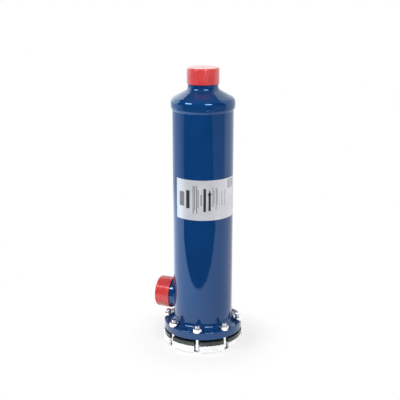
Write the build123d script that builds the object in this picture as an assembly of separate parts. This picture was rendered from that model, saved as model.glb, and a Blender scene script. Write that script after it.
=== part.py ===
from build123d import *
import os
from math import cos, radians, sin, sqrt, tan

# Replaceable-core filter drier shell, in millimetres. It stands on its bolted cover with its
# axis on Z. z = 0 is the surface that the cover bolts' heads stand on, and the side inlet points
# along -X. Gas comes in at the side, passes inwards through the cores and leaves at the top.

# Shell tube, and the ring flange that its foot is welded into
TUBE_OD = 121.0
TUBE_WALL = 3.2
FLANGE_OD = 161.0
FLANGE_THICK = 17.0
FLANGE_LEDGE = 4.0
FLANGE_ROUNDING = 2.0
FLANGE_WELD_LEG = 10.0
FLANGE_WELD_HOLLOW = 2.6

# Cover joint: cover, the backing flange outside it, flat gasket, and eight bolts with nuts
COVER_THICK = 8.0
BACKING_THICK = 13.0
BACKING_OD = 163.0
BACKING_BORE = 92.0
RIM_ROUNDING = 1.0
GASKET_THICK = 4.5
GASKET_OD = 133.6
PLUG_OD = 13.2
PLUG_SINK = 0.5
PLUG_KEY = 6.4
PLUG_KEY_DEPTH = 4.5
BOLT_COUNT = 8
BOLT_CIRCLE = 145.0
BOLT_CLOCK = 11.8
BOLT_OD = 10.0
BOLT_LENGTH = 55.0
BOLT_POINT = 1.0
BOLT_HOLE = 11.0
HEX_FLATS = 17.0
HEAD_HEIGHT = 6.4
NUT_HEIGHT = 8.4
SPOT_FACE_OD = 23.0
SPOT_FACE_DEPTH = 2.0

# Pressed end dome, lapped over the top of the tube
DOME_WALL = 3.0
DOME_SLOPE = 28.6
DOME_CREST = 528.7
DOME_FOOT = 495.9
DOME_LAP = 6.0
DOME_SHOULDER = 12.0
SKIRT_ROUNDING = 0.5
DOME_WELD_DROP = 8.0
DOME_WELD_CROWN = 1.7
DOME_WELD_VALLEY = 0.8

# Turned solder connections for 54 mm pipe
CONNECTION_OD = 60.0
CONNECTION_BORE = 50.0
SOCKET_ID = 54.1
SOCKET_DEPTH = 31.0
MOUTH_ROUNDING = 0.8
OUTLET_ROOT = 521.5
OUTLET_END = 568.5
OUTLET_WELD_LEG = 5.5
OUTLET_WELD_HOLLOW = 1.2
INLET_HEIGHT = 95.2
INLET_END = 94.5
INLET_WELD = 3.5

# Moulded caps pushed over the connections
CAP_GAP = 0.3
CAP_WALL = 1.7
CAP_DEPTH = 29.0
CAP_TOP = 2.0
CAP_EDGE = 3.0
CAP_LIP = 0.5
CAP_GATE = 5.0
CAP_GATE_DEPTH = 0.5

# Label wrapped round the tube: its angles are turned from +X about Z
LABEL_THICK = 0.25
LABEL_FOOT = 278.7
LABEL_HEIGHT = 80.8
LABEL_START = 233.0
LABEL_ARC = 135.0

# Core stack inside, which a spring on the cover holds up
CORE_COUNT = 3
CORE_OD = 96.0
CORE_BORE = 44.0
CORE_LENGTH = 136.0
CORE_BEVEL = 1.5
FELT_OD = 92.0
FELT_ID = 45.0
FELT_THICK = 2.0
PLATE_OD = 110.0
PLATE_BORE = 41.4
PLATE_THICK = 2.0
STRAINER_OD = 41.0
STRAINER_WALL = 0.8
STRAINER_HOLE = 9.0
STRAINER_ROWS = 6
SPOUT_OD = 49.2
SPOUT_TOP = 527.5
SPOUT_WALL = 1.0
SPOUT_FOOT = 4.0
SPOUT_FLARE = 3.0

# Spring under the stack, and the rods that tie it together
SPRING_HEIGHT = 26.0
SPRING_WIRE = 3.6
SPRING_MEAN_OD = 66.0
SPRING_TURNS = 3
COLLAR_SLACK = 1.0
COLLAR_HEIGHT = 4.0
ROD_COUNT = 3
ROD_CIRCLE = 103.0
ROD_OD = 5.0
ROD_FLATS = 8.0
ROD_NUT_HEIGHT = 4.0
ROD_FOOT = 45.0
ROD_PROUD = 2.0
WING_NUT_HEIGHT = 5.0
WING_SPAN = 20.0
WING_HEIGHT = 6.0
WING_THICK = 2.0
FIT = 0.1

# Heights and radii that follow from these
TUBE_R = TUBE_OD / 2
TUBE_BORE = TUBE_OD - 2 * TUBE_WALL
COVER_FOOT = HEAD_HEIGHT + BACKING_THICK
COVER_TOP = COVER_FOOT + COVER_THICK
FLANGE_FOOT = COVER_TOP + GASKET_THICK
FLANGE_TOP = FLANGE_FOOT + FLANGE_THICK
NUT_SEAT = FLANGE_TOP - SPOT_FACE_DEPTH
TUBE_FOOT = FLANGE_FOOT + FLANGE_LEDGE
CONNECTION_R = CONNECTION_OD / 2
STACK_FOOT = COVER_TOP + SPRING_HEIGHT
STAGE = PLATE_THICK + 2 * FELT_THICK + CORE_LENGTH
STACK_TOP = STACK_FOOT + CORE_COUNT * STAGE

# The inlet's own frame: its +Z runs out along the shell's -X, at the inlet's height
INLET = Pos(0, 0, INLET_HEIGHT) * Rot(0, -90, 0)


# Shapes used throughout


def drum(diameter, foot, top):
    """A plain cylinder on Z between two heights."""
    middle = (foot + top) / 2
    return Pos(0, 0, middle) * Cylinder(diameter / 2, top - foot)


def ring(outer, inner, foot, top):
    """A plain ring or tube on Z, from its outer and inner diameter."""
    return drum(outer, foot, top) - drum(inner, foot, top)


def turned(*corners):
    """A turned solid, from the (radius, height, rounding) of each corner of its half section."""
    points = [(radius, height) for radius, height, _ in corners]
    roundings = [rounding for _, _, rounding in corners]
    section = make_face(FilletPolyline(*points, radius=roundings, close=True))
    return revolve(Plane.XZ * section, Axis.Z)


def weld_bead(corner, toe_a, toe_b, hollow):
    """A turned fillet weld in a corner, its face hollowed between its toes, or crowned if less than 0."""
    corner, toe_a, toe_b = Vector(*corner), Vector(*toe_a), Vector(*toe_b)
    chord_middle = (toe_a + toe_b) / 2
    deepest = chord_middle + (corner - chord_middle).normalized() * hollow
    face_line = ThreePointArc(toe_a, deepest, toe_b)
    section = make_face(Line(corner, toe_a) + face_line + Line(toe_b, corner))
    return revolve(Plane.XZ * section, Axis.Z)


def hexagon(flats, height, chamfer_foot, chamfer_top):
    """A bolt head or nut blank standing on z = 0, its corners turned off at 30 degrees."""
    corner_r = flats / sqrt(3)
    face_r = 0.475 * flats
    rise = (corner_r - face_r) * tan(radians(30))
    blank = extrude(RegularPolygon(corner_r, 6), height)
    cone = Cone(corner_r, face_r, rise)
    collar = Cylinder(2 * corner_r, rise) - cone
    if chamfer_top:
        blank -= Pos(0, 0, height - rise / 2) * collar
    if chamfer_foot:
        blank -= Pos(0, 0, rise / 2) * Rot(180, 0, 0) * collar
    return blank


def bolt_places():
    return PolarLocations(BOLT_CIRCLE / 2, BOLT_COUNT, start_angle=BOLT_CLOCK)


def rod_places():
    return PolarLocations(ROD_CIRCLE / 2, ROD_COUNT, start_angle=90.0)


# Shell


def shell_tube():
    tube = ring(TUBE_OD, TUBE_BORE, TUBE_FOOT, DOME_FOOT + DOME_LAP)
    return tube - INLET * drum(CONNECTION_BORE, 0, TUBE_OD)


def shell_flange():
    """A ring with a ledge that the tube's foot stands on, and a spot face at each bolt hole."""
    flange = turned(
        (TUBE_BORE / 2, FLANGE_FOOT, 0),
        (FLANGE_OD / 2, FLANGE_FOOT, FLANGE_ROUNDING),
        (FLANGE_OD / 2, FLANGE_TOP, FLANGE_ROUNDING),
        (TUBE_R, FLANGE_TOP, 0),
        (TUBE_R, TUBE_FOOT, 0),
        (TUBE_BORE / 2, TUBE_FOOT, 0),
    )
    for place in bolt_places():
        flange -= place * drum(BOLT_HOLE, FLANGE_FOOT, FLANGE_TOP)
        flange -= place * drum(SPOT_FACE_OD, NUT_SEAT, FLANGE_TOP)
    return flange


def flange_weld():
    """The heavy fillet from tube to flange, which the spot facing has bitten into."""
    weld_top = FLANGE_TOP + FLANGE_WELD_LEG
    bead = weld_bead(
        corner=(TUBE_R, FLANGE_TOP),
        toe_a=(TUBE_R + FLANGE_WELD_LEG, FLANGE_TOP),
        toe_b=(TUBE_R, weld_top),
        hollow=FLANGE_WELD_HOLLOW,
    )
    for place in bolt_places():
        bead -= place * drum(SPOT_FACE_OD, NUT_SEAT, weld_top)
    return bead


def cone_height(radius, inset=0.0):
    """Height of the dome's cone at a radius, on its outside or inset into its wall."""
    slope = radians(DOME_SLOPE)
    return DOME_CREST - tan(slope) * (radius - CONNECTION_R) - inset / cos(slope)


def dome_end():
    """A pressed cap: a cone that turns down through a round shoulder into a skirt."""
    skirt_r = TUBE_R + DOME_WALL
    return turned(
        (CONNECTION_R, cone_height(CONNECTION_R, DOME_WALL), 0),
        (TUBE_R, cone_height(TUBE_R, DOME_WALL), DOME_SHOULDER - DOME_WALL),
        (TUBE_R, DOME_FOOT, 0),
        (skirt_r, DOME_FOOT, SKIRT_ROUNDING),
        (skirt_r, cone_height(skirt_r), DOME_SHOULDER),
        (CONNECTION_R, DOME_CREST, 0),
    )


def dome_weld():
    """The girth weld under the dome's skirt: a crowned run, with a shallow valley above it."""
    return weld_bead(
        corner=(TUBE_R, DOME_FOOT),
        toe_a=(TUBE_R + DOME_WALL - DOME_WELD_VALLEY, DOME_FOOT),
        toe_b=(TUBE_R, DOME_FOOT - DOME_WELD_DROP),
        hollow=-DOME_WELD_CROWN,
    )


def outlet_weld():
    slope = radians(DOME_SLOPE)
    across = OUTLET_WELD_LEG * cos(slope)
    down = OUTLET_WELD_LEG * sin(slope)
    return weld_bead(
        corner=(CONNECTION_R, DOME_CREST),
        toe_a=(CONNECTION_R + across, DOME_CREST - down),
        toe_b=(CONNECTION_R, DOME_CREST + OUTLET_WELD_LEG),
        hollow=OUTLET_WELD_HOLLOW,
    )


# Connections and their caps


def connection(root, end):
    """A turned connection with a stepped bore: its solder socket is open at the end."""
    step = end - SOCKET_DEPTH
    return turned(
        (CONNECTION_BORE / 2, root, 0),
        (CONNECTION_R, root, 0),
        (CONNECTION_R, end, MOUTH_ROUNDING),
        (SOCKET_ID / 2, end, 0),
        (SOCKET_ID / 2, step, 0),
        (CONNECTION_BORE / 2, step, 0),
    )


def outlet_connection():
    return connection(OUTLET_ROOT, OUTLET_END)


def inlet_connection():
    """The same connection on its side, with its root cut to a saddle that fits the tube."""
    stub = INLET * connection(TUBE_R / 2, INLET_END)
    return stub - drum(TUBE_OD, 0, 2 * INLET_HEIGHT)


def inlet_weld():
    """The bead round the saddle joint: what a fillet adds to the tube and stub as one piece."""
    stub = INLET * drum(CONNECTION_OD, 0, INLET_END)
    joined = drum(TUBE_OD, 0, 2 * INLET_HEIGHT) + stub
    saddle = []
    for edge in joined.edges():
        box = edge.bounding_box()
        if -INLET_END < box.min.X - 1.0 and box.max.X < -CONNECTION_R:
            saddle.append(edge)
    return fillet(saddle, INLET_WELD) - joined


def dust_cap():
    """A moulded cup with its mouth on z = 0 and a gate mark sunk in its closed end."""
    inner_r = CONNECTION_R + CAP_GAP
    outer_r = inner_r + CAP_WALL
    height = CAP_DEPTH + CAP_TOP
    cup = turned(
        (0, CAP_DEPTH, 0),
        (inner_r, CAP_DEPTH, CAP_LIP),
        (inner_r, 0, 0),
        (outer_r, 0, CAP_LIP),
        (outer_r, height, CAP_EDGE),
        (0, height, 0),
    )
    return cup - drum(CAP_GATE, height - CAP_GATE_DEPTH, height)


def outlet_cap():
    return Pos(0, 0, OUTLET_END - CAP_DEPTH) * dust_cap()


def inlet_cap():
    return INLET * Pos(0, 0, INLET_END - CAP_DEPTH) * dust_cap()


def flow_label():
    """A thin band round part of the tube."""
    strip = Pos(TUBE_R + LABEL_THICK / 2, LABEL_HEIGHT / 2) * Rectangle(LABEL_THICK, LABEL_HEIGHT)
    band = revolve(Plane.XZ * strip, Axis.Z, LABEL_ARC)
    return Pos(0, 0, LABEL_FOOT) * Rot(0, 0, LABEL_START) * band


# Cover joint


def notched_disc(diameter, foot, top):
    """A disc with a notch at each bolt, open to its rim, so that a slack bolt swings clear."""
    disc = turned(
        (0, foot, 0),
        (diameter / 2, foot, RIM_ROUNDING),
        (diameter / 2, top, RIM_ROUNDING),
        (0, top, 0),
    )
    for place in bolt_places():
        notch_mouth = Box(SPOT_FACE_OD, BOLT_HOLE, top - foot)
        disc -= place * drum(BOLT_HOLE, foot, top)
        disc -= place * Pos(SPOT_FACE_OD / 2, 0, (foot + top) / 2) * notch_mouth
    return disc


def cover_plate():
    """The disc that closes the shell, with a port for the access plug."""
    return notched_disc(FLANGE_OD, COVER_FOOT, COVER_TOP) - drum(PLUG_OD, COVER_FOOT, COVER_TOP)


def backing_flange():
    """A heavy ring outside the cover, which spreads the pull of the bolts over it."""
    return notched_disc(BACKING_OD, HEAD_HEIGHT, COVER_FOOT) - drum(BACKING_BORE, HEAD_HEIGHT, COVER_FOOT)


def access_plug():
    """A socket-head plug screwed in from outside, its face a little below the cover's."""
    face = COVER_FOOT + PLUG_SINK
    hex_socket = extrude(RegularPolygon(PLUG_KEY / 2, 6, major_radius=False), face + PLUG_KEY_DEPTH)
    return drum(PLUG_OD, face, COVER_TOP) - hex_socket


def cover_gasket():
    """A flat ring that lies inside the bolts, so that a gap shows between cover and flange."""
    return ring(GASKET_OD, TUBE_BORE, COVER_TOP, FLANGE_FOOT)


def cover_bolts():
    """Hexagon bolts with their heads down, each left at its own angle."""
    shank = drum(BOLT_OD, HEAD_HEIGHT, HEAD_HEIGHT + BOLT_LENGTH)
    tip = shank.faces().sort_by(Axis.Z)[-1].edges()
    bolt = hexagon(HEX_FLATS, HEAD_HEIGHT, True, False) + chamfer(tip, BOLT_POINT)
    angles = (20, 3, 41, 12, 55, 28, 46, 33)
    return Compound([place * Rot(0, 0, angle) * bolt for place, angle in zip(bolt_places(), angles)])


def cover_nuts():
    """Nuts in the spot faces, each stopped at the angle where it came tight."""
    nut = hexagon(HEX_FLATS, NUT_HEIGHT, True, True) - drum(BOLT_OD + FIT, 0, NUT_HEIGHT)
    seat = Pos(0, 0, NUT_SEAT)
    angles = (31, 14, 50, 2, 38, 24, 9, 54)
    return Compound([place * seat * Rot(0, 0, angle) * nut for place, angle in zip(bolt_places(), angles)])


# Core stack


def stack_plate(foot, bore):
    """A plain stack plate with its three rod holes and its bore."""
    plate = ring(PLATE_OD, bore, foot, foot + PLATE_THICK)
    for place in rod_places():
        plate -= place * drum(ROD_OD + 2 * FIT, foot, foot + PLATE_THICK)
    return plate


def spring_plate():
    """The blind plate under the stack, with a collar that keeps the spring central."""
    collar_bore = SPRING_MEAN_OD + SPRING_WIRE + COLLAR_SLACK
    plate = drum(PLATE_OD, STACK_FOOT, STACK_FOOT + PLATE_THICK)
    plate += ring(collar_bore + 2 * PLATE_THICK, collar_bore, STACK_FOOT - COLLAR_HEIGHT, STACK_FOOT)
    for place in rod_places():
        plate -= place * drum(ROD_OD + 2 * FIT, STACK_FOOT, STACK_FOOT + PLATE_THICK)
    return plate


def outlet_plate():
    """The plate on top of the stack, with a spout drawn up into the outlet."""
    spout = turned(
        (PLATE_BORE / 2, STACK_TOP, 0),
        (SPOUT_OD / 2 + SPOUT_FOOT, STACK_TOP, 0),
        (SPOUT_OD / 2 + SPOUT_FOOT, STACK_TOP + PLATE_THICK, 0),
        (SPOUT_OD / 2, STACK_TOP + PLATE_THICK, SPOUT_FLARE),
        (SPOUT_OD / 2, SPOUT_TOP, 0),
        (SPOUT_OD / 2 - SPOUT_WALL, SPOUT_TOP, 0),
        (SPOUT_OD / 2 - SPOUT_WALL, STACK_TOP + PLATE_THICK, 0),
        (PLATE_BORE / 2, STACK_TOP + PLATE_THICK, 0),
    )
    return stack_plate(STACK_TOP, PLATE_BORE) + spout


def desiccant_core(index):
    """A bonded block with a bore, its four rims lightly bevelled."""
    foot = STACK_FOOT + index * STAGE + PLATE_THICK + FELT_THICK
    core = ring(CORE_OD, CORE_BORE, foot, foot + CORE_LENGTH)
    rims = core.edges().filter_by(GeomType.CIRCLE)
    return chamfer(rims, CORE_BEVEL)


def core_gasket(foot):
    return ring(FELT_OD, FELT_ID, foot, foot + FELT_THICK)


def centre_strainer():
    """A drilled tube up the middle of the cores, from the spring plate to the outlet plate."""
    foot, top = STACK_FOOT + PLATE_THICK, STACK_TOP + PLATE_THICK
    strainer = ring(STRAINER_OD, STRAINER_OD - 2 * STRAINER_WALL, foot, top)
    pitch = (top - foot) / STRAINER_ROWS
    drill = Cylinder(STRAINER_HOLE / 2, 2 * STRAINER_OD, rotation=(90, 0, 0))
    for row in range(STRAINER_ROWS):
        for turn in (0, 90):
            strainer -= Pos(0, 0, foot + (row + 0.5) * pitch) * Rot(0, 0, turn) * drill
    return strainer


def core_spring():
    """A square-wire coil, its ends ground flat on the cover and on the spring plate."""
    sink = SPRING_WIRE / 4
    rise = SPRING_HEIGHT - 2 * sink
    coil = Helix(rise / SPRING_TURNS, rise, SPRING_MEAN_OD / 2)
    section = Plane(coil @ 0, x_dir=(1, 0, 0), z_dir=coil % 0) * Rectangle(SPRING_WIRE, SPRING_WIRE)
    wire = sweep(section, coil, is_frenet=True)
    wire = Pos(0, 0, COVER_TOP + sink) * wire
    return wire & drum(2 * SPRING_MEAN_OD, COVER_TOP, STACK_FOOT)


def tie_rods():
    top = STACK_TOP + PLATE_THICK + ROD_NUT_HEIGHT + ROD_PROUD
    return Compound([place * drum(ROD_OD, ROD_FOOT, top) for place in rod_places()])


def tie_rod_nuts():
    seat = Pos(0, 0, STACK_TOP + PLATE_THICK)
    nut = hexagon(ROD_FLATS, ROD_NUT_HEIGHT, False, True)
    nut -= drum(ROD_OD + FIT, 0, ROD_NUT_HEIGHT)
    return Compound([place * seat * nut for place in rod_places()])


def wing_nuts():
    """Wing nuts under the spring plate, which are undone to change the cores."""
    hub_foot = STACK_FOOT - WING_NUT_HEIGHT
    hub = drum(ROD_FLATS, hub_foot, STACK_FOOT)
    wings_top = STACK_FOOT - WING_NUT_HEIGHT / 10
    wings = Pos(0, 0, wings_top - WING_HEIGHT / 2) * Box(WING_THICK, WING_SPAN, WING_HEIGHT)
    nut = hub + (wings & drum(WING_SPAN, wings_top - WING_HEIGHT, wings_top))
    nut -= drum(ROD_OD + FIT, wings_top - WING_HEIGHT, STACK_FOOT)
    return Compound([place * nut for place in rod_places()])


def model():
    """Every node of the drier, by name."""
    nodes = {
        "shell_tube": shell_tube(),
        "shell_flange": shell_flange(),
        "flange_weld": flange_weld(),
        "dome_end": dome_end(),
        "dome_weld": dome_weld(),
        "outlet_connection": outlet_connection(),
        "outlet_weld": outlet_weld(),
        "inlet_connection": inlet_connection(),
        "inlet_weld": inlet_weld(),
        "outlet_cap": outlet_cap(),
        "inlet_cap": inlet_cap(),
        "flow_label": flow_label(),
        "cover_plate": cover_plate(),
        "backing_flange": backing_flange(),
        "access_plug": access_plug(),
        "cover_gasket": cover_gasket(),
        "cover_bolts": cover_bolts(),
        "cover_nuts": cover_nuts(),
        "core_spring": core_spring(),
        "spring_plate": spring_plate(),
        "outlet_plate": outlet_plate(),
        "centre_strainer": centre_strainer(),
        "tie_rods": tie_rods(),
        "tie_rod_nuts": tie_rod_nuts(),
        "wing_nuts": wing_nuts(),
    }
    for index in range(CORE_COUNT):
        stage_foot = STACK_FOOT + index * STAGE
        below = stage_foot + PLATE_THICK
        above = below + FELT_THICK + CORE_LENGTH
        nodes[f"desiccant_core_{index + 1}"] = desiccant_core(index)
        nodes[f"core_gasket_{2 * index + 1}"] = core_gasket(below)
        nodes[f"core_gasket_{2 * index + 2}"] = core_gasket(above)
        if index > 0:
            nodes[f"core_plate_{index}"] = stack_plate(stage_foot, PLATE_BORE)
    return nodes


os.makedirs("parts", exist_ok=True)
for name, solid in model().items():
    export_step(solid, f"parts/{name}.step")
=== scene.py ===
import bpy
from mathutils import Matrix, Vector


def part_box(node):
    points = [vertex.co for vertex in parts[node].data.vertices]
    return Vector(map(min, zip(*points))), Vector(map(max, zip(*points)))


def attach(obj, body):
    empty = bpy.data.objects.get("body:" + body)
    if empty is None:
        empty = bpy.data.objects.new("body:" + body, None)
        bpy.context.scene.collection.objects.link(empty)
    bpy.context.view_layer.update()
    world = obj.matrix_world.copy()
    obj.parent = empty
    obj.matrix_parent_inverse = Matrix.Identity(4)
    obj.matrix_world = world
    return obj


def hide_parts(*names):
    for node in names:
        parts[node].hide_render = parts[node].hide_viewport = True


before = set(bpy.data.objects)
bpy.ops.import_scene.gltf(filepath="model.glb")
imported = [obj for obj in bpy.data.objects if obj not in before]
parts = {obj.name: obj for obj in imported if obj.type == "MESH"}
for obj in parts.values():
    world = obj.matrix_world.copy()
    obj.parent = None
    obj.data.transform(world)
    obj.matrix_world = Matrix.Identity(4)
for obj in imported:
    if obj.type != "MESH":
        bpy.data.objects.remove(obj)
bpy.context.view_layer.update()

from math import cos, pi, radians, sin

import bmesh
import bpy
from mathutils import Matrix, Vector

scene = bpy.context.scene


# Camera
# The shell is seen from in front and to its right, from a little above its top, through a lens
# of medium length.
CAMERA_REACH = 1.632
CAMERA_HEIGHT = 0.769
CAMERA_TURN = 20.6
CAMERA_SIDE = 270.0 + CAMERA_TURN
CAMERA_DIP = radians(15.91)
CAMERA_SWING = radians(0.211)
FOCAL_LENGTH_PX = 841.0
FRAME_PX = 400.0
SENSOR_MM = 36.0
CAMERA_SIGHT = 60.0

turn = radians(CAMERA_TURN)
camera_data = bpy.data.cameras.new("camera")
camera_data.sensor_width = SENSOR_MM
camera_data.lens = SENSOR_MM * FOCAL_LENGTH_PX / FRAME_PX
camera_data.clip_end = CAMERA_SIGHT
camera = bpy.data.objects.new("camera", camera_data)
camera.location = (CAMERA_REACH * sin(turn), -CAMERA_REACH * cos(turn), CAMERA_HEIGHT)
camera.rotation_euler = (pi / 2 - CAMERA_DIP, 0.0, turn + CAMERA_SWING)
scene.collection.objects.link(camera)
scene.camera = camera
scene.view_settings.view_transform = "Standard"


# Sheet
# A wide white paper sheet that the shell stands on. To the shell's gloss alone it glows at
# painted levels, brightest and bluest to the left, and past three edges, each a bearing and a
# distance, it
# is dark: painted reflections, which draw the tongue on the tube. Near the shell a glow washes
# out
# most of the shadow on the paper: painted light. A spread is the two distances between which a
# level changes.
SHEET_SIZE = 40.0
SHEET_COLOUR = (0.94, 0.94, 0.945, 1.0)
SHEET_EDGES = ((274.4, 0.395), (306.8, -0.035), (227.6, -0.325))
EDGE_BLUR = 0.004
# Seen only in gloss past the edges: a painted reflection of the room's dark.
GLOSS_ONLY_DARK_COLOUR = (0.02, 0.022, 0.026, 1.0)
WHITE = (1.0, 1.0, 1.0, 1.0)
# The glow's least share near the shell, which washes out most of its shadow: painted light.
SHADOW_WASHING_GLOW = 0.6
GLOW_SPREAD = (0.07, 0.19)
# Levels of the glow that only gloss sees: painted reflections on the shell.
GLOSS_NEAR = 1.05
GLOSS_LEFT = 1.9
LEFT_SPREAD = (-0.3, 0.35)
GLOSS_AHEAD = 0.34
AHEAD_SPREAD = (0.75, 1.7)
GLOSS_BEHIND = 1.1
BEHIND_SPREAD = (0.45, -0.15)
# A bluer tint that only gloss sees to the left: painted colour in the shell's reflections.
GLOSS_LEFT_PAINTED_TINT = (0.8, 0.95, 1.12, 1.0)
TINT_SPREAD = (-0.1, 0.15)
TINT_REACH = (0.12, 0.35)
COLOUR_A, COLOUR_B, COLOUR_RESULT = 6, 7, 2


def add_node(tree, kind, inputs=None, **settings):
    """A shader node of one kind, with its settings and the values of its inputs."""
    made = tree.nodes.new(kind)
    for name, value in settings.items():
        setattr(made, name, value)
    for name, value in (inputs or {}).items():
        made.inputs[name].default_value = value
    return made


def maths(tree, operation, first, second):
    """A Math node's result. Each of the two terms is a socket or a number."""
    made = add_node(tree, "ShaderNodeMath", operation=operation)
    for place, term in enumerate((first, second)):
        if isinstance(term, bpy.types.NodeSocket):
            tree.links.new(term, made.inputs[place])
        else:
            made.inputs[place].default_value = term
    return made.outputs["Value"]


def ramp(tree, value, start, end, low=0.0, high=1.0):
    """A smooth step of a value, from low at start to high at end."""
    step = add_node(
        tree,
        "ShaderNodeMapRange",
        {"From Min": start, "From Max": end, "To Min": low, "To Max": high},
        interpolation_type="SMOOTHSTEP",
    )
    tree.links.new(value, step.inputs["Value"])
    return step.outputs["Result"]


def mixed_colour(tree, amount, first, second):
    """The colour that goes from the first to the second with an amount."""
    mixed = add_node(tree, "ShaderNodeMix", data_type="RGBA")
    mixed.inputs[COLOUR_A].default_value = first
    mixed.inputs[COLOUR_B].default_value = second
    tree.links.new(amount, mixed.inputs["Factor"])
    return mixed.outputs[COLOUR_RESULT]


def mixed_shader(tree, amount, first, second):
    """The shader that goes from the first to the second with an amount."""
    mixed = add_node(tree, "ShaderNodeMixShader")
    tree.links.new(amount, mixed.inputs["Fac"])
    for place, shader in enumerate((first, second), 1):
        tree.links.new(shader.outputs[0], mixed.inputs[place])
    return mixed


def seen_directly(tree, ray):
    """1 for a ray that shows the background: to the camera, in a gloss or through glass."""
    either = maths(tree, "MAXIMUM", ray.outputs["Is Camera Ray"], ray.outputs["Is Glossy Ray"])
    return maths(tree, "MAXIMUM", either, ray.outputs["Is Transmission Ray"])


def along(tree, place, bearing):
    """How far a point lies from the shell towards a bearing in degrees."""
    angle = radians(bearing)
    dot = add_node(tree, "ShaderNodeVectorMath", operation="DOT_PRODUCT")
    dot.inputs[1].default_value = (cos(angle), sin(angle), 0.0)
    tree.links.new(place, dot.inputs[0])
    return dot.outputs["Value"]


def white_sheet():
    """Matt paper under a glow, which washes out most of its shadow near the shell (painted light)
    and is
    plain white away from it. To gloss alone it glows at painted levels and is dark past its
    edges:
    painted reflections.
    """
    material = bpy.data.materials.new("white_sheet")
    material.use_nodes = True
    tree = material.node_tree
    tree.nodes.clear()
    place = add_node(tree, "ShaderNodeTexCoord").outputs["Object"]
    ray = add_node(tree, "ShaderNodeLightPath")
    in_gloss = ray.outputs["Is Glossy Ray"]
    distance = add_node(tree, "ShaderNodeVectorMath", operation="LENGTH")
    tree.links.new(place, distance.inputs["Vector"])
    reach = distance.outputs["Value"]

    # Glow levels that only gloss sees, which paint the reflections on the shell.
    leftward = along(tree, place, CAMERA_SIDE - 90.0)
    near_level = ramp(tree, leftward, *LEFT_SPREAD, GLOSS_NEAR, GLOSS_LEFT)
    ahead = ramp(tree, reach, *AHEAD_SPREAD, 1.0, GLOSS_AHEAD)
    faded_level = maths(tree, "MULTIPLY", near_level, ahead)
    behind = along(tree, place, CAMERA_SIDE)
    behind_level = ramp(tree, behind, *BEHIND_SPREAD, 0.0, GLOSS_BEHIND)
    gloss_level = add_node(tree, "ShaderNodeMix", {"A": 1.0})
    tree.links.new(in_gloss, gloss_level.inputs["Factor"])
    tree.links.new(maths(tree, "MAXIMUM", faded_level, behind_level), gloss_level.inputs["B"])

    # The bluer tint on the left, for gloss alone: painted colour in the reflections.
    painted_tint_share = maths(tree, "MULTIPLY", ramp(tree, leftward, *TINT_SPREAD), in_gloss)
    painted_tint_share = maths(tree, "MULTIPLY", painted_tint_share, ramp(tree, reach, *TINT_REACH))
    # The painted glow: plain white to the camera, painted reflection levels to gloss.
    painted_glow = add_node(tree, "ShaderNodeEmission")
    tree.links.new(mixed_colour(tree, painted_tint_share, WHITE, GLOSS_LEFT_PAINTED_TINT), painted_glow.inputs["Color"])
    tree.links.new(gloss_level.outputs["Result"], painted_glow.inputs["Strength"])

    paper = add_node(tree, "ShaderNodeBsdfDiffuse", {"Color": SHEET_COLOUR})
    # Near the shell the glow covers most of the paper and its shadow: painted light.
    glow_over_paper = ramp(tree, reach, *GLOW_SPREAD, SHADOW_WASHING_GLOW)
    faded = mixed_shader(
        tree, maths(tree, "MULTIPLY", glow_over_paper, seen_directly(tree, ray)), paper, painted_glow
    )
    # Past the edges gloss alone sees a dark floor: a painted reflection of the room's dark.
    dark = in_gloss
    for bearing, away in SHEET_EDGES:
        past = ramp(tree, along(tree, place, bearing), away - EDGE_BLUR, away + EDGE_BLUR)
        dark = maths(tree, "MULTIPLY", past, dark)
    gloss_only_dark = add_node(tree, "ShaderNodeBsdfDiffuse", {"Color": GLOSS_ONLY_DARK_COLOUR})
    ended = mixed_shader(tree, dark, faded, gloss_only_dark)
    output = add_node(tree, "ShaderNodeOutputMaterial")
    tree.links.new(ended.outputs["Shader"], output.inputs["Surface"])
    return material


bm = bmesh.new()
bmesh.ops.create_grid(bm, x_segments=1, y_segments=1, size=SHEET_SIZE / 2)
sheet_mesh = bpy.data.meshes.new("sheet")
bm.to_mesh(sheet_mesh)
bm.free()
sheet_mesh.materials.append(white_sheet())
sheet = bpy.data.objects.new("sheet", sheet_mesh)
scene.collection.objects.link(sheet)


# Room
# White paper hangs behind the shell, brightest to the left, and the rest of the room is dark but
# for its grey ceiling. They show only in gloss: the camera sees plain white, and matt surfaces
# get an even, weak light from all round.
BACKDROP_BEARING = radians(102.1)
BACKDROP_EDGE = 0.08
BACKDROP_TOP = 0.73
BACKDROP_SLANT = 0.17
BACKDROP_RIGHT = 1.15
BACKDROP_LEFT = 2.2
BACKDROP_SPREAD = (0.1, -0.5)
BACKDROP_BLUR = 0.02
ROOM_LEVEL = 0.025
CEILING_LEVEL = 0.22
CEILING_SPREAD = (0.6, 0.9)
FILL_LEVEL = 0.42

world = bpy.data.worlds.new("room")
world.use_nodes = True
scene.world = world
tree = world.node_tree
tree.nodes.clear()
direction = add_node(tree, "ShaderNodeTexCoord").outputs["Generated"]
turned = add_node(
    tree, "ShaderNodeMapping", {"Rotation": (0.0, 0.0, -BACKDROP_BEARING)}, vector_type="POINT"
)
tree.links.new(direction, turned.inputs["Vector"])
toward = add_node(tree, "ShaderNodeSeparateXYZ")
tree.links.new(turned.outputs["Vector"], toward.inputs["Vector"])
to_right = along(tree, direction, CAMERA_SIDE + 90.0)
slant = maths(tree, "MULTIPLY", to_right, BACKDROP_SLANT)
slanted = maths(tree, "SUBTRACT", toward.outputs["Z"], slant)
across = ramp(
    tree, toward.outputs["X"], BACKDROP_EDGE - BACKDROP_BLUR, BACKDROP_EDGE + BACKDROP_BLUR
)
below = ramp(tree, slanted, BACKDROP_TOP + BACKDROP_BLUR, BACKDROP_TOP - BACKDROP_BLUR)
paper_level = ramp(tree, to_right, *BACKDROP_SPREAD, BACKDROP_RIGHT, BACKDROP_LEFT)
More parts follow.
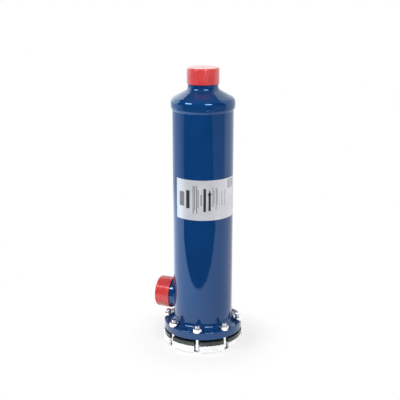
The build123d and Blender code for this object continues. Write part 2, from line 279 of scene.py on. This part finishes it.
lit_paper = maths(tree, "MULTIPLY", maths(tree, "MULTIPLY", across, below), paper_level)
room_level = ramp(tree, toward.outputs["Z"], *CEILING_SPREAD, ROOM_LEVEL, CEILING_LEVEL)

ray = add_node(tree, "ShaderNodeLightPath")
fill = add_node(tree, "ShaderNodeBackground", {"Color": WHITE, "Strength": FILL_LEVEL})
gloss = add_node(tree, "ShaderNodeBackground", {"Color": WHITE})
tree.links.new(maths(tree, "ADD", lit_paper, room_level), gloss.inputs["Strength"])
plain = add_node(tree, "ShaderNodeBackground", {"Color": WHITE, "Strength": 1.0})
matt_or_gloss = mixed_shader(tree, ray.outputs["Is Glossy Ray"], fill, gloss)
straight = maths(
    tree, "MAXIMUM", ray.outputs["Is Camera Ray"], ray.outputs["Is Transmission Ray"]
)
output = add_node(tree, "ShaderNodeOutputWorld")
tree.links.new(
    mixed_shader(tree, straight, matt_or_gloss, plain).outputs["Shader"], output.inputs["Surface"]
)


# Lamps
# Two soft boxes on stands, one near the camera and one well to its left, both higher than the
# shell and turned down to it.
LAMP_BEARINGS = {"right": 312.6, "left": 231.6}
LAMP_REACH = 1.5
LAMP_HEIGHT = 1.5335
LAMP_SIZE = (0.7, 0.35)
LAMP_POWER = 15.4
LAMP_AIM = Vector((0.0, 0.0, 0.2935))

for side, bearing in LAMP_BEARINGS.items():
    lamp_data = bpy.data.lights.new(f"{side}_lamp", "AREA")
    lamp_data.shape = "RECTANGLE"
    lamp_data.size, lamp_data.size_y = LAMP_SIZE
    lamp_data.energy = LAMP_POWER
    lamp = bpy.data.objects.new(f"{side}_lamp", lamp_data)
    angle = radians(bearing)
    lamp.location = (LAMP_REACH * cos(angle), LAMP_REACH * sin(angle), LAMP_HEIGHT)
    lamp.rotation_mode = "QUATERNION"
    lamp.rotation_quaternion = (LAMP_AIM - lamp.location).to_track_quat("-Z", "Y")
    lamp.visible_camera = False
    scene.collection.objects.link(lamp)


# Shell tube
# A length of drawn steel tube, painted blue with the flange, dome and connections once they were
# welded on. The enamel is glossy, with a faint orange peel and a slightly uneven coat.
ENAMEL_DARK = (0.0030, 0.039, 0.150, 1.0)
ENAMEL_LIGHT = (0.0040, 0.045, 0.168, 1.0)
ENAMEL_DULLNESS = 0.05
ENAMEL_INDEX = 1.66
ENAMEL_SHEEN = (0.52, 0.7, 1.0, 1.0)
PEEL_SCALE = 420.0
PEEL_DETAIL = 1.0
PEEL_DEPTH = 0.000018
COAT_SCALE = 14.0


def shader_material(name, dullness, metal=0.0):
    """A material with one shader, its tree, and the place of each point in it."""
    material = bpy.data.materials.new(name)
    material.use_nodes = True
    tree = material.node_tree
    shader = tree.nodes["Principled BSDF"]
    shader.inputs["Roughness"].default_value = dullness
    shader.inputs["Metallic"].default_value = metal
    place = add_node(tree, "ShaderNodeTexCoord").outputs["Object"]
    return material, tree, shader, place


def cloud(tree, place, scale, detail=3.0, squeeze=None):
    """Soft noise over a piece, squeezed along an axis where the finish runs round it."""
    noise = add_node(tree, "ShaderNodeTexNoise", {"Scale": scale, "Detail": detail})
    if squeeze:
        drawn = add_node(tree, "ShaderNodeMapping", {"Scale": squeeze})
        tree.links.new(place, drawn.inputs["Vector"])
        place = drawn.outputs["Vector"]
    tree.links.new(place, noise.inputs["Vector"])
    return noise.outputs["Fac"]


def two_tone(tree, shader, value, dark, light, start=0.35, end=0.65):
    """The shader's colour, which goes from dark to light with a value."""
    tone = mixed_colour(tree, ramp(tree, value, start, end), dark, light)
    tree.links.new(tone, shader.inputs["Base Color"])


def relief(tree, shader, height, depth, under=None):
    """Raises the surface by a height, depth metres at most, on top of another relief."""
    bump = add_node(tree, "ShaderNodeBump", {"Strength": 1.0, "Distance": depth})
    tree.links.new(height, bump.inputs["Height"])
    if under:
        tree.links.new(under, bump.inputs["Normal"])
    tree.links.new(bump.outputs["Normal"], shader.inputs["Normal"])
    return bump.outputs["Normal"]


def blue_enamel(name, sheen=ENAMEL_SHEEN):
    """Gloss paint on steel."""
    material, tree, shader, place = shader_material(name, ENAMEL_DULLNESS)
    shader.inputs["IOR"].default_value = ENAMEL_INDEX
    shader.inputs["Specular Tint"].default_value = sheen
    two_tone(tree, shader, cloud(tree, place, COAT_SCALE), ENAMEL_DARK, ENAMEL_LIGHT)
    peel = relief(tree, shader, cloud(tree, place, PEEL_SCALE, PEEL_DETAIL), PEEL_DEPTH)
    return material, tree, shader, place, peel


def dress(material, *names):
    """Gives CAD nodes their finish."""
    for name in names:
        for slot in parts[name].material_slots:
            slot.material = material


enamel = blue_enamel("blue_enamel")[0]
dress(enamel, "shell_tube")


# Ring flange
# A turned steel ring that the tube's foot is welded into, spot-faced for the nuts and painted
# with the shell, over its bolt holes' edges as well.
dress(enamel, "shell_flange")


# Pressed dome
# A deep-drawn steel end, lapped over the tube. It carries the outlet, and its paint is the
# shell's, but its gloss has a bluer tint than the tube's, which tones its reflections and
# highlights: a painted tint on them.
# A bluer tint on the dome's gloss than on the tube's: a painted tint on its reflections.
DOME_REFLECTION_TINT = (0.4, 0.7, 1.0, 1.0)

dress(blue_enamel("dome_enamel", DOME_REFLECTION_TINT)[0], "dome_end")


# Weld beads
# Runs of weld metal at the flange, dome and connections, laid down by a machine that turned the
# shell. Their fine ripples show through the paint. The run under the dome rolls out at its top.
RIPPLE_DEPTH = 0.00002
RIPPLE_DRIFT = 5.0
RIPPLE_DRIFT_SCALE = 60.0
FLANGE_RIPPLES = 150
DOME_RIPPLES = 140
CONNECTION_RIPPLES = 80
ROLL_R = 0.004
ROLL_REACH = 0.0019
ROLL_ANGLES = range(28, -28, -6)
ROLL_STEPS = 256
SOFT_ANGLE = radians(35.0)


def soften(bm):
    """Shades a form smooth, but for its sharp edges."""
    for face in bm.faces:
        face.smooth = True
    for edge in bm.edges:
        edge.smooth = edge.calc_face_angle(0.0) < SOFT_ANGLE


def new_piece(name, bm, material, body):
    """A closed piece of the drier, which rides on a body and has the given finish."""
    soften(bm)
    mesh = bpy.data.meshes.new(name)
    bm.to_mesh(mesh)
    bm.free()
    mesh.materials.append(material)
    piece = bpy.data.objects.new(name, mesh)
    scene.collection.objects.link(piece)
    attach(piece, body)
    return piece


def turned_solid(bm, outline, steps, closed=False):
    """Spins a half outline of (radius, height) points round Z. It meets the axis or is closed."""
    points = [bm.verts.new((reach, 0.0, up)) for reach, up in outline]
    ends = points[1:] + points[:1] if closed else points[1:]
    edges = [bm.edges.new(pair) for pair in zip(points, ends)]
    bmesh.ops.spin(
        bm,
        geom=points + edges,
        cent=(0.0, 0.0, 0.0),
        axis=(0.0, 0.0, 1.0),
        angle=2 * pi,
        steps=steps,
        use_merge=True,
    )
    bmesh.ops.recalc_face_normals(bm, faces=bm.faces)


def beaded_enamel(name, ripples, axis, height=0.0):
    """Enamel over a weld with a number of ripples round an axis, which passes at a height."""
    material, tree, shader, place, peel = blue_enamel(name)
    at = add_node(tree, "ShaderNodeSeparateXYZ")
    tree.links.new(place, at.inputs["Vector"])
    if axis == "Z":
        angle = maths(tree, "ARCTAN2", at.outputs["Y"], at.outputs["X"])
    else:
        up = maths(tree, "SUBTRACT", at.outputs["Z"], height)
        angle = maths(tree, "ARCTAN2", up, at.outputs["Y"])
    uneven = maths(tree, "MULTIPLY", cloud(tree, place, RIPPLE_DRIFT_SCALE), RIPPLE_DRIFT)
    phase = maths(tree, "ADD", maths(tree, "MULTIPLY", angle, float(ripples)), uneven)
    relief(tree, shader, maths(tree, "SINE", phase, 0.0), RIPPLE_DEPTH, peel)
    return material


INLET_HEIGHT = sum(corner.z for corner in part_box("inlet_connection")) / 2
dress(beaded_enamel("flange_bead_enamel", FLANGE_RIPPLES, "Z"), "flange_weld")
dome_bead_enamel = beaded_enamel("dome_bead_enamel", DOME_RIPPLES, "Z")
dress(dome_bead_enamel, "dome_weld")
dress(beaded_enamel("outlet_bead_enamel", CONNECTION_RIPPLES, "Z"), "outlet_weld")
dress(beaded_enamel("inlet_bead_enamel", CONNECTION_RIPPLES, "X", INLET_HEIGHT), "inlet_weld")

TUBE_R = 0.0605
WELD_FOOT, WELD_TOP = (corner.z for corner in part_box("dome_weld"))
roll_start = radians(ROLL_ANGLES[0])
middle_r = TUBE_R + ROLL_REACH - ROLL_R * cos(roll_start)
middle_z = WELD_TOP - ROLL_R * sin(roll_start)
roll = [
    (middle_r + ROLL_R * cos(radians(angle)), middle_z + ROLL_R * sin(radians(angle)))
    for angle in ROLL_ANGLES
]
bm = bmesh.new()
turned_solid(bm, [(TUBE_R, WELD_FOOT), (TUBE_R, WELD_TOP), *roll], ROLL_STEPS, closed=True)
dome_bead = new_piece("dome_bead", bm, dome_bead_enamel, "shell")
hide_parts("dome_weld")


# Connections
# Two turned steel stubs, bored for the pipe that is soldered into them. They were painted with
# the shell, and their mouths are under the caps.
dress(enamel, "outlet_connection", "inlet_connection")


# Dust caps
# Soft red caps moulded in one piece, pushed over the connections to keep dirt out. Their skin is
# satin, a little uneven, lets some light into it, and keeps the rings of the turned mould.
CAP_RED = (0.64, 0.036, 0.036, 1.0)
CAP_RED_PALE = (0.72, 0.056, 0.056, 1.0)
CAP_DULLNESS = 0.28
OUTLET_CAP_POLISH = 0.7
INLET_CAP_POLISH = 0.12
CAP_POLISH_DULLNESS = 0.1
CAP_LIGHT = 0.12
CAP_LIGHT_SPREAD = (1.0, 0.25, 0.15)
CAP_LIGHT_DEPTH = 0.0015
CAP_PATCH_SCALE = 45.0
CAP_SKIN_SCALE = 90.0
CAP_SKIN_DETAIL = 2.0
CAP_SKIN_DEPTH = 0.0002
MOULD_RING_PITCH = 0.0004
MOULD_RING_SLOPE = 0.32


def red_plastic(name, axis, polish):
    """Moulded plastic, with fine rings round an axis that draw highlights out along it."""
    material, tree, shader, place = shader_material(name, CAP_DULLNESS)
    two_tone(tree, shader, cloud(tree, place, CAP_PATCH_SCALE), CAP_RED, CAP_RED_PALE)
    shader.inputs["Coat Weight"].default_value = polish
    shader.inputs["Coat Roughness"].default_value = CAP_POLISH_DULLNESS
    shader.inputs["Subsurface Weight"].default_value = CAP_LIGHT
    shader.inputs["Subsurface Radius"].default_value = CAP_LIGHT_SPREAD
    shader.inputs["Subsurface Scale"].default_value = CAP_LIGHT_DEPTH
    skin = cloud(tree, place, CAP_SKIN_SCALE, CAP_SKIN_DETAIL)
    skin = relief(tree, shader, skin, CAP_SKIN_DEPTH)
    at = add_node(tree, "ShaderNodeSeparateXYZ")
    tree.links.new(place, at.inputs["Vector"])
    phase = maths(tree, "MULTIPLY", at.outputs[axis], 2 * pi / MOULD_RING_PITCH)
    slope = maths(tree, "MULTIPLY", maths(tree, "SINE", phase, 0.0), MOULD_RING_SLOPE)
    tilt = add_node(tree, "ShaderNodeCombineXYZ")
    tree.links.new(slope, tilt.inputs[axis])
    tilted = add_node(tree, "ShaderNodeVectorMath", operation="ADD")
    tree.links.new(skin, tilted.inputs[0])
    tree.links.new(tilt.outputs["Vector"], tilted.inputs[1])
    level = add_node(tree, "ShaderNodeVectorMath", operation="NORMALIZE")
    tree.links.new(tilted.outputs["Vector"], level.inputs[0])
    tree.links.new(level.outputs["Vector"], shader.inputs["Normal"])
    return material


dress(red_plastic("outlet_cap_plastic", "Z", OUTLET_CAP_POLISH), "outlet_cap")
dress(red_plastic("inlet_cap_plastic", "X", INLET_CAP_POLISH), "inlet_cap")


# Label
# A pale film wrapped part of the way round the tube. It is satin and faintly silvered, so that it
# darkens where it faces the dark of the room.


def mottled(
    name, dullness, tones, patches, grain, depth, metal=0.0, details=(3.0, 3.0), squeeze=None
):
    """A finish in two tones, in patches of one scale, with a grain of a finer one and a depth."""
    material, tree, shader, place = shader_material(name, dullness, metal)
    two_tone(tree, shader, cloud(tree, place, patches, details[0], squeeze), *tones)
    relief(tree, shader, cloud(tree, place, grain, details[1]), depth)
    return material


film = mottled(
    "label_film",
    dullness=0.36,
    metal=0.3,
    tones=((0.68, 0.69, 0.735, 1.0), (0.74, 0.75, 0.79, 1.0)),
    patches=30.0,
    grain=260.0,
    details=(3.0, 2.0),
    depth=0.00002,
)
dress(film, "flow_label")


# Label print
# Ink on the film: plain bars and fields, and an arrow that points the way the gas flows, up the
# shell. In millimetres, u runs along the band from its left end and v up from its foot.
INK_THICK = 0.00005
INK_LIFT = 0.00002
LABEL_THICK = 0.00025
LABEL_R = TUBE_R + LABEL_THICK
LABEL_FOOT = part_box("flow_label")[0].z
LABEL_START = radians(233.0)
PRINT_STEP = 0.0008
INK_DULLNESS = 0.45
INK_WEAR_SCALE = 500.0
INK_BLACK = ((0.020, 0.021, 0.026, 1.0), (0.03, 0.031, 0.036, 1.0))
INK_GREY = ((0.17, 0.175, 0.20, 1.0), (0.22, 0.225, 0.25, 1.0))
INK_FAINT = ((0.40, 0.405, 0.43, 1.0), (0.45, 0.455, 0.48, 1.0))
BLACK_FIELDS = ((26.4, 34.0, 23.5, 60.0), (61.9, 67.0, 18.0, 64.5))
GREY_FIELDS = (
    (9.5, 21.5, 27.0, 56.0),
    (40.6, 42.4, 13.0, 70.0),
    (43.7, 45.5, 20.0, 70.0),
    (47.7, 49.5, 13.5, 70.0),
    (50.5, 52.3, 26.0, 62.0),
    (56.5, 58.5, 30.0, 52.5),
    (80.1, 81.7, 27.0, 66.0),
    (82.7, 83.8, 34.0, 60.0),
    (86.8, 88.3, 22.0, 66.0),
    (89.4, 90.7, 30.0, 62.0),
    (100.3, 101.5, 27.0, 57.0),
    (108.1, 109.3, 27.0, 58.0),
)
FAINT_FIELDS = ((94.4, 95.2, 30.0, 54.0), (116.5, 124.5, 60.0, 78.0), (127.5, 135.5, 60.0, 78.0))
ARROW_U = 74.2
ARROW_TAIL = 19.7
ARROW_NECK = 50.7
ARROW_TIP = 62.2
ARROW_HALF_SHAFT = 2.3
ARROW_HALF_HEAD = 4.1


def ink(name, tones):
    """Printing ink, a little worn."""
    material, tree, shader, place = shader_material(name, INK_DULLNESS)
    two_tone(tree, shader, cloud(tree, place, INK_WEAR_SCALE), *tones)
    return material


def on_band(u, v, lift=0.0):
    """The point over the label at u and v, a lift in metres off the ink's underside."""
    angle = LABEL_START + u / 1000 / LABEL_R
    reach = LABEL_R + INK_LIFT + lift
    return Vector((reach * cos(angle), reach * sin(angle), LABEL_FOOT + v / 1000))


def print_field(bm, left, right, foot, top):
    """A field of ink between two values of u and two of v."""
    corners = (
        on_band(left, foot),
        on_band(left, foot, INK_THICK),
        on_band(left, top, INK_THICK),
        on_band(left, top),
    )
    end = bm.faces.new([bm.verts.new(corner) for corner in corners])
    width = (right - left) / 1000
    bmesh.ops.spin(
        bm,
        geom=[end],
        cent=(0.0, 0.0, 0.0),
        axis=(0.0, 0.0, 1.0),
        angle=width / LABEL_R,
        steps=max(2, round(width / PRINT_STEP)),
    )


def print_piece(name, material, fields):
    """One colour of the print."""
    bm = bmesh.new()
    for field in fields:
        print_field(bm, *field)
    bmesh.ops.recalc_face_normals(bm, faces=bm.faces)
    return new_piece(name, bm, material, "shell")


black_ink = ink("black_ink", INK_BLACK)
print_piece("black_print", black_ink, BLACK_FIELDS)
print_piece("grey_print", ink("grey_ink", INK_GREY), GREY_FIELDS)
print_piece("faint_print", ink("faint_ink", INK_FAINT), FAINT_FIELDS)

half_arrow = (
    (0.0, ARROW_TAIL),
    (ARROW_HALF_SHAFT, ARROW_TAIL),
    (ARROW_HALF_SHAFT, ARROW_NECK),
    (ARROW_HALF_HEAD, ARROW_NECK),
    (0.0, ARROW_TIP),
)
bm = bmesh.new()
for side in (-1.0, 1.0):
    corners = [on_band(ARROW_U + side * across, up) for across, up in half_arrow]
    bm.faces.new([bm.verts.new(corner) for corner in corners])
bmesh.ops.remove_doubles(bm, verts=bm.verts, dist=1e-6)
bmesh.ops.recalc_face_normals(bm, faces=bm.faces)
bmesh.ops.solidify(bm, geom=bm.faces[:], thickness=INK_THICK)
bmesh.ops.recalc_face_normals(bm, faces=bm.faces)
new_piece("flow_arrow", bm, black_ink, "shell")


# Backing flange
# A thick steel ring under the cover, notched from its rim for the bolts so that they can stay
# loose in place. Its zinc plate is bright, and cloudy where the bath ran off.
ZINC_GRAIN = 1100.0
ZINC_GRAIN_DEPTH = 0.00003


def zinc_plate(name, dullness, tones, patches):
    """Zinc on steel, with patches of a scale."""
    return mottled(name, dullness, tones, patches, ZINC_GRAIN, ZINC_GRAIN_DEPTH, metal=1.0)


ring_zinc = zinc_plate(
    "ring_zinc",
    dullness=0.42,
    tones=((0.82, 0.825, 0.84, 1.0), (0.93, 0.93, 0.935, 1.0)),
    patches=60.0,
)
dress(ring_zinc, "backing_flange")


# Cover plate
# The disc that closes the shell, cut from plate and notched like the flange under it. It has a
# dark phosphate finish, mottled where it dried.
phosphate = mottled(
    "dark_phosphate",
    dullness=0.22,
    metal=0.35,
    tones=((0.026, 0.036, 0.035, 1.0), (0.066, 0.080, 0.068, 1.0)),
    patches=38.0,
    grain=700.0,
    details=(5.0, 3.0),
    depth=0.00004,
)
dress(phosphate, "cover_plate")


# Access plug
# A plain turned steel plug with a socket head, screwed into the cover's port. It is bare but for
# a film of oil.
plug_metal = mottled(
    "plug_metal",
    dullness=0.3,
    metal=1.0,
    tones=((0.22, 0.22, 0.21, 1.0), (0.33, 0.33, 0.32, 1.0)),
    patches=80.0,
    grain=900.0,
    depth=0.00002,
)
dress(plug_metal, "access_plug")


# Cover gasket
# A flat ring cut from dark grey fibre sheet. The bolts clamp it between cover and flange, inside
# their circle.
fibre = mottled(
    "gasket_fibre",
    dullness=0.85,
    tones=((0.018, 0.018, 0.020, 1.0), (0.045, 0.045, 0.048, 1.0)),
    patches=600.0,
    grain=900.0,
    depth=0.00012,
)
dress(fibre, "cover_gasket")


# Cover bolts
# Eight zinc-plated steel bolts, put in from below. A head is forged and turned, then its six
# flats are cut, and the thread is rolled: the shank keeps its full size under the head.
BOLT_CIRCLE_R = 0.0725
BOLT_CLOCK = 11.8
BOLT_TURNS = (20, 3, 41, 12, 55, 28, 46, 33)
BOLT_R = 0.005
BOLT_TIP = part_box("cover_bolts")[1].z
HEAD_HEIGHT = 0.0064
HEAD_HALF_FLATS = 0.0085
HEAD_CORNER_R = 0.00982
HEAD_FACE_R = 0.0081
HEAD_BEVEL_SLOPE = 0.577
SHANK_SINK = 0.001
SHANK_STEPS = 24
THREAD_FOOT = BOLT_TIP - 0.026
THREAD_PITCH = 0.0015
THREAD_CORE_R = 0.00415
THREAD_CREST = (0.42, 0.58)
THREAD_STEPS = 20
TIP_INSET = 0.0001
HEAD_STEPS = 48
JOIN = 1e-7
THREAD_JOIN = 1e-6


def cut_away(bm, point, outward):
    """Cuts off what lies beyond a plane, and closes the cut."""
    geom = bm.verts[:] + bm.edges[:] + bm.faces[:]
    cut = bmesh.ops.bisect_plane(
        bm, geom=geom, plane_co=point, plane_no=outward, clear_outer=True, dist=JOIN
    )["geom_cut"]
    rim = [item for item in cut if isinstance(item, bmesh.types.BMEdge)]
    bmesh.ops.contextual_create(bm, geom=rim)


def zinc_bolt():
    """One bolt on Z, its head's face at z = 0."""
    head = bmesh.new()
    rise = (HEAD_CORNER_R - HEAD_FACE_R) * HEAD_BEVEL_SLOPE
    turned_solid(
        head,
        (
            (0.0, 0.0),
            (HEAD_FACE_R, 0.0),
            (HEAD_CORNER_R, rise),
            (HEAD_CORNER_R, HEAD_HEIGHT),
            (0.0, HEAD_HEIGHT),
        ),
        HEAD_STEPS,
    )
    bmesh.ops.remove_doubles(head, verts=head.verts, dist=JOIN)
    for flat in range(6):
        outward = Vector((cos(flat * pi / 3), sin(flat * pi / 3), 0.0))
        cut_away(head, outward * HEAD_HALF_FLATS, outward)

    shank = bmesh.new()
    turned_solid(
        shank,
        (
            (0.0, HEAD_HEIGHT - SHANK_SINK),
            (BOLT_R, HEAD_HEIGHT - SHANK_SINK),
            (BOLT_R, THREAD_FOOT),
            (THREAD_CORE_R, THREAD_FOOT + BOLT_R - THREAD_CORE_R),
            (THREAD_CORE_R, BOLT_TIP - TIP_INSET),
            (0.0, BOLT_TIP - TIP_INSET),
        ),
        SHANK_STEPS,
    )
    bmesh.ops.remove_doubles(shank, verts=shank.verts, dist=JOIN)

    thread = bmesh.new()
    turns = int((BOLT_TIP - THREAD_FOOT) / THREAD_PITCH) + 3
    foot = THREAD_FOOT - THREAD_PITCH
    flank = (
        (THREAD_CORE_R, 0.0),
        (BOLT_R, THREAD_CREST[0] * THREAD_PITCH),
        (BOLT_R, THREAD_CREST[1] * THREAD_PITCH),
        (THREAD_CORE_R, THREAD_PITCH),
    )
    points = [thread.verts.new((reach, 0.0, foot + up)) for reach, up in flank]
    edges = [thread.edges.new(pair) for pair in zip(points, points[1:])]
    bmesh.ops.spin(
        thread,
        geom=points + edges,
        cent=(0.0, 0.0, 0.0),
        axis=(0.0, 0.0, 1.0),
        dvec=(0.0, 0.0, THREAD_PITCH / THREAD_STEPS),
        angle=2 * pi * turns,
        steps=THREAD_STEPS * turns,
    )
    bmesh.ops.remove_doubles(thread, verts=thread.verts, dist=THREAD_JOIN)
    cut_away(thread, Vector((0.0, 0.0, BOLT_TIP)), Vector((0.0, 0.0, 1.0)))
    cut_away(thread, Vector((0.0, 0.0, THREAD_FOOT)), Vector((0.0, 0.0, -1.0)))

    bolt = bmesh.new()
    for piece in (head, shank, thread):
        bmesh.ops.recalc_face_normals(piece, faces=piece.faces)
        mesh = bpy.data.meshes.new("bolt_part")
        piece.to_mesh(mesh)
        piece.free()
        bolt.from_mesh(mesh)
        bpy.data.meshes.remove(mesh)
    return bolt


bolt_zinc = zinc_plate(
    "bolt_zinc",
    dullness=0.3,
    tones=((0.80, 0.81, 0.83, 1.0), (0.93, 0.93, 0.94, 1.0)),
    patches=160.0,
)
one_bolt = zinc_bolt()
one_bolt_mesh = bpy.data.meshes.new("bolt_form")
one_bolt.to_mesh(one_bolt_mesh)
one_bolt.free()
bm = bmesh.new()
for index, turn in enumerate(BOLT_TURNS):
    bearing = radians(BOLT_CLOCK + index * 360 / len(BOLT_TURNS))
    added = len(bm.verts)
    bm.from_mesh(one_bolt_mesh)
    bm.verts.ensure_lookup_table()
    outward = Matrix.Translation((BOLT_CIRCLE_R, 0.0, 0.0))
    in_place = Matrix.Rotation(bearing, 4, "Z") @ outward @ Matrix.Rotation(radians(turn), 4, "Z")
    bmesh.ops.transform(bm, matrix=in_place, verts=bm.verts[added:])
bpy.data.meshes.remove(one_bolt_mesh)
bolts = new_piece("threaded_bolts", bm, bolt_zinc, "shell")
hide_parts("cover_bolts")


# Cover nuts
# Eight hexagon nuts, forged in steel and zinc-plated like the bolts. They are run down into the
# flange's spot faces, each stopped at the angle where it came tight.
dress(bolt_zinc, "cover_nuts")


# Core stack, its plates, rods and nuts
# Plain pressed and turned steel parts inside the shell: two plates, a drilled strainer, a coil
# spring, three rods with their nuts and wing nuts, and two thin plates between the cores.
inner_steel = mottled(
    "inner_steel",
    dullness=0.32,
    metal=1.0,
    tones=((0.46, 0.465, 0.47, 1.0), (0.62, 0.62, 0.625, 1.0)),
    patches=90.0,
    squeeze=(1.0, 1.0, 8.0),
    grain=800.0,
    depth=0.00002,
)
dress(
    inner_steel,
    "core_spring",
    "spring_plate",
    "outlet_plate",
    "centre_strainer",
    "tie_rods",
    "tie_rod_nuts",
    "wing_nuts",
    "core_plate_1",
    "core_plate_2",
)


# Cores
# Three blocks of drying beads, pale beige, pressed and bonded in a mould. They are rough all over
# with the beads' round backs, each painted lighter in its middle and darker towards the crevices
# between beads: painted light and shade.
CORE_DULLNESS = 0.9
BEAD_SCALE = 420.0
BEAD_DEPTH = 0.0006
BEAD_PAINTED_LIGHT = (0.56, 0.47, 0.35, 1.0)
BEAD_PAINTED_SHADE = (0.33, 0.27, 0.19, 1.0)

beads, tree, shader, place = shader_material("bonded_beads", CORE_DULLNESS)
cells = add_node(tree, "ShaderNodeTexVoronoi", {"Scale": BEAD_SCALE})
tree.links.new(place, cells.inputs["Vector"])
from_middle = cells.outputs["Distance"]
# Lighter in each bead's middle, darker at the crevices between beads: painted light and shade.
two_tone(tree, shader, from_middle, BEAD_PAINTED_LIGHT, BEAD_PAINTED_SHADE, start=0.2, end=0.8)
relief(tree, shader, maths(tree, "SUBTRACT", 1.0, from_middle), BEAD_DEPTH)
dress(beads, "desiccant_core_1", "desiccant_core_2", "desiccant_core_3")


# Core gaskets
# Soft rings punched from pressed felt, one at each end of every core. They are off-white and
# hairy, and the stack's own pressure holds them.
felt = mottled(
    "felt",
    dullness=0.95,
    tones=((0.50, 0.48, 0.42, 1.0), (0.68, 0.66, 0.60, 1.0)),
    patches=700.0,
    grain=900.0,
    details=(4.0, 4.0),
    depth=0.0003,
)
dress(felt, *[f"core_gasket_{number}" for number in range(1, 7)])
